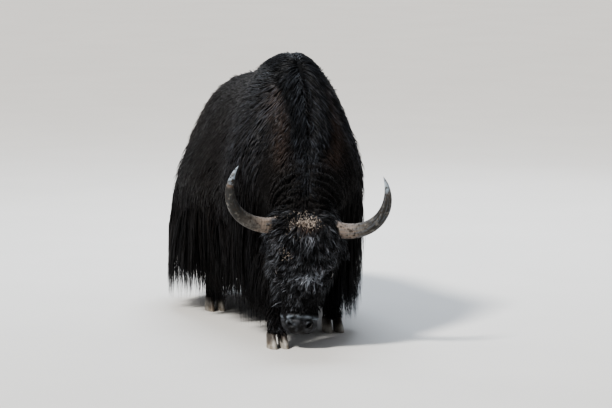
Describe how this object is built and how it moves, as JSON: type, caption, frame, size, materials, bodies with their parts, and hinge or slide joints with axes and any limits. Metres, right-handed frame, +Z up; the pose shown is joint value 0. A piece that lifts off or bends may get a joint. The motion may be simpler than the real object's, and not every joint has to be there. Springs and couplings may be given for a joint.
{
  "type": "yak",
  "caption": "Life-size still model of a black long-haired yak bull grazing, head lowered, one forefoot set forward, standing on its hooves.",
  "frame": {"origin": "bottom centre of the whole model's box, on the floor under the belly", "axes": "+Z up, -Y the way the yak faces, +X its left side"},
  "size_m": [0.9238, 2.2638, 1.3473],
  "materials": {
    "coat": "long black hair with a soft blue-grey sheen on the crest and a brown tint at the skirt's tips",
    "coat_fine": "curly black hair over dark skin, short on the muzzle",
    "horn": "pale beige-grey horn with dark flecks, bluish towards the tips",
    "hoof": "pale worn hoof horn with growth rings",
    "eye": "dark brown, wet"
  },
  "bodies": {
    "root": {"ear_left": "coat_fine", "ear_right": "coat_fine", "eye_left": "eye", "eye_right": "eye", "head": "coat_fine", "hoof_front_left_left_claw": "hoof", "hoof_front_left_right_claw": "hoof", "hoof_front_right_left_claw": "hoof", "hoof_front_right_right_claw": "hoof", "hoof_hind_left_left_claw": "hoof", "hoof_hind_left_right_claw": "hoof", "hoof_hind_right_left_claw": "hoof", "hoof_hind_right_right_claw": "hoof", "horn_left": "horn", "horn_right": "horn", "leg_front_left": "coat", "leg_front_right": "coat", "leg_hind_left": "coat", "leg_hind_right": "coat", "neck": "coat", "tail": "coat", "torso": "coat"}
  },
  "joints": []
}
